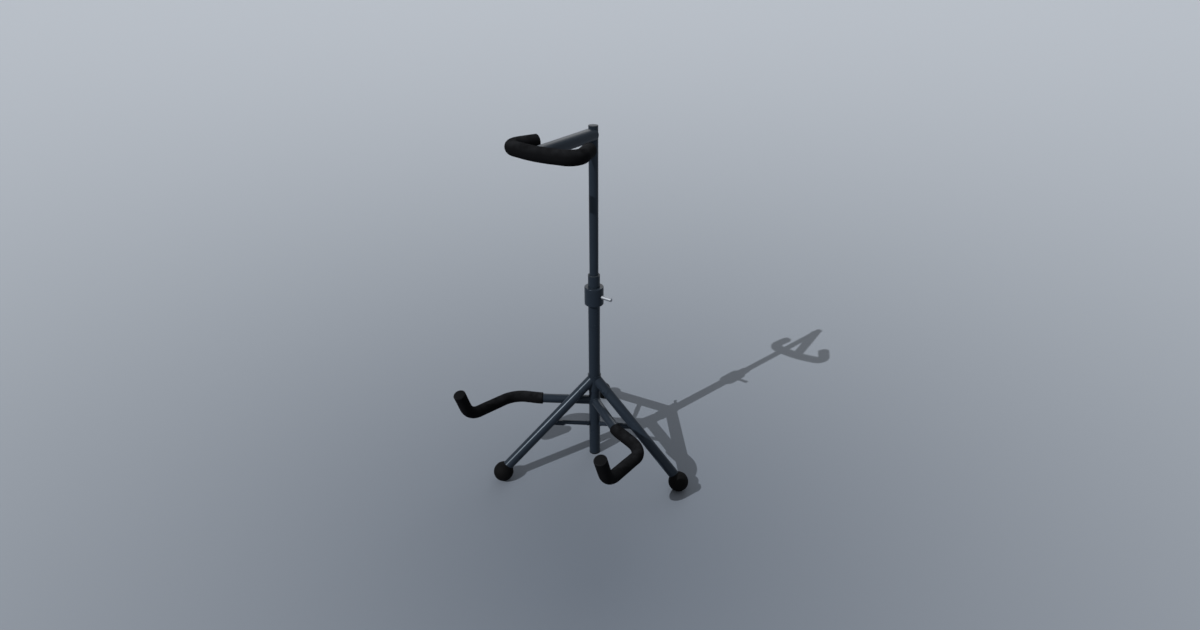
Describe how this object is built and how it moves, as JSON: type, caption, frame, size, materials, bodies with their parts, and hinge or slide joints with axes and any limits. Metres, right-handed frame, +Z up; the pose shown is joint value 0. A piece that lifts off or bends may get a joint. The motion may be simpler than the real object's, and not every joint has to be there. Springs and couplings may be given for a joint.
{
  "type": "guitar stand",
  "caption": "Tripod guitar stand: telescopic column with a screw clamp, padded neck cradle on a forward arm, padded hooked body arms and folding braced legs with ball feet.",
  "frame": {"origin": "centre of the column foot plug's underside, on the floor", "axes": "+Z up along the column, -Y forward to the instrument side, +X to the right leg and the clamp screw"},
  "size_m": [0.3871, 0.4088, 0.6687],
  "materials": {
    "tube_paint": "dark slate powder coat, satin",
    "foam": "closed-cell foam sleeve, matt black",
    "foot_rubber": "moulded rubber, dull black",
    "black_plastic": "moulded black plastic",
    "cap_plastic": "moulded slate-grey plastic",
    "bright_steel": "bright zinc-plated steel",
    "rivet_steel": "rivets coated with the tubes",
    "brass": "turned brass",
    "bare_rod": "coated steel rod under the foam"
  },
  "bodies": {
    "column": {"column_tube": "tube_paint", "column_foot_plug": "black_plastic", "mast_guide_bush": "cap_plastic", "clamp_collar": "tube_paint", "clamp_insert": "tube_paint", "left_arm": "tube_paint", "right_arm": "tube_paint", "left_arm_sleeve": "foam", "right_arm_sleeve": "foam", "left_arm_plug": "black_plastic", "right_arm_plug": "black_plastic", "brace_lugs": "tube_paint", "brace_root_pins": "rivet_steel", "clamp_pad": "brass"},
    "mast_guide": {"mast_piston": "black_plastic"},
    "mast": {"mast_tube": "tube_paint", "mast_cap": "cap_plastic", "neck_arm": "tube_paint", "neck_screw": "bright_steel", "cradle_rod": "bare_rod", "cradle_sleeve": "foam", "cradle_end_plugs": "black_plastic"},
    "clamp_screw": {"clamp_screw": "bright_steel"},
    "hub": {"leg_hub": "tube_paint", "hub_lock_insert": "tube_paint", "leg_hinge_pins": "rivet_steel", "hub_lock_pad": "brass"},
    "hub_screw": {"hub_lock_screw": "bright_steel"},
    "right_leg": {"right_leg_knuckle": "tube_paint", "right_leg_tube": "tube_paint", "right_brace_pin": "rivet_steel", "right_foot": "foot_rubber"},
    "back_leg": {"back_leg_knuckle": "tube_paint", "back_leg_tube": "tube_paint", "back_brace_pin": "rivet_steel", "back_foot": "foot_rubber"},
    "left_leg": {"left_leg_knuckle": "tube_paint", "left_leg_tube": "tube_paint", "left_brace_pin": "rivet_steel", "left_foot": "foot_rubber"},
    "right_brace": {"right_brace": "tube_paint"},
    "back_brace": {"back_brace": "tube_paint"},
    "left_brace": {"left_brace": "tube_paint"}
  },
  "joints": [
    {"name": "mast_slide", "type": "slide", "parent": "column", "child": "mast_guide", "axis": [0, 0, 1], "range_m": [-0.18, 0.09]},
    {"name": "mast_turn", "type": "hinge", "parent": "mast_guide", "child": "mast", "pos_m": [0, 0, 0.214], "axis": [0, 0, 1], "continuous": true},
    {"name": "clamp_screw_turn", "type": "hinge", "parent": "column", "child": "clamp_screw", "pos_m": [0.02, 0, 0.3635], "axis": [1, 0, 0], "range_deg": [0, 720]},
    {"name": "hub_slide", "type": "slide", "parent": "column", "child": "hub", "axis": [0, 0, 1], "range_m": [0, 0.06826]},
    {"name": "hub_screw_turn", "type": "hinge", "parent": "hub", "child": "hub_screw", "pos_m": [-0.01, 0.01732, 0.198], "axis": [-0.5, 0.866, 0], "range_deg": [0, 720]},
    {"name": "right_leg_fold", "type": "hinge", "parent": "hub", "child": "right_leg", "pos_m": [0.02619, 0, 0.16372], "axis": [0, 1, 0], "range_deg": [0, 31.05]},
    {"name": "right_brace_fold", "type": "hinge", "parent": "column", "child": "right_brace", "pos_m": [0.0165, 0, 0.07773], "axis": [0, -1, 0], "range_deg": [0, 43.59]},
    {"name": "back_leg_fold", "type": "hinge", "parent": "hub", "child": "back_leg", "pos_m": [-0.0131, 0.02268, 0.16372], "axis": [-0.866, -0.5, 0], "range_deg": [0, 31.05]},
    {"name": "back_brace_fold", "type": "hinge", "parent": "column", "child": "back_brace", "pos_m": [-0.00825, 0.01429, 0.07773], "axis": [0.866, 0.5, 0], "range_deg": [0, 43.59]},
    {"name": "left_leg_fold", "type": "hinge", "parent": "hub", "child": "left_leg", "pos_m": [-0.0131, -0.02268, 0.16372], "axis": [0.866, -0.5, 0], "range_deg": [0, 31.05]},
    {"name": "left_brace_fold", "type": "hinge", "parent": "column", "child": "left_brace", "pos_m": [-0.00825, -0.01429, 0.07773], "axis": [-0.866, 0.5, 0], "range_deg": [0, 43.59]}
  ],
  "couplings": [
    {"joint": "right_leg_fold", "follows": "hub_slide", "rad_per_m": 7.9265},
    {"joint": "right_brace_fold", "follows": "hub_slide", "rad_per_m": 11.133},
    {"joint": "back_leg_fold", "follows": "hub_slide", "rad_per_m": 7.9265},
    {"joint": "back_brace_fold", "follows": "hub_slide", "rad_per_m": 11.133},
    {"joint": "left_leg_fold", "follows": "hub_slide", "rad_per_m": 7.9265},
    {"joint": "left_brace_fold", "follows": "hub_slide", "rad_per_m": 11.133}
  ]
}
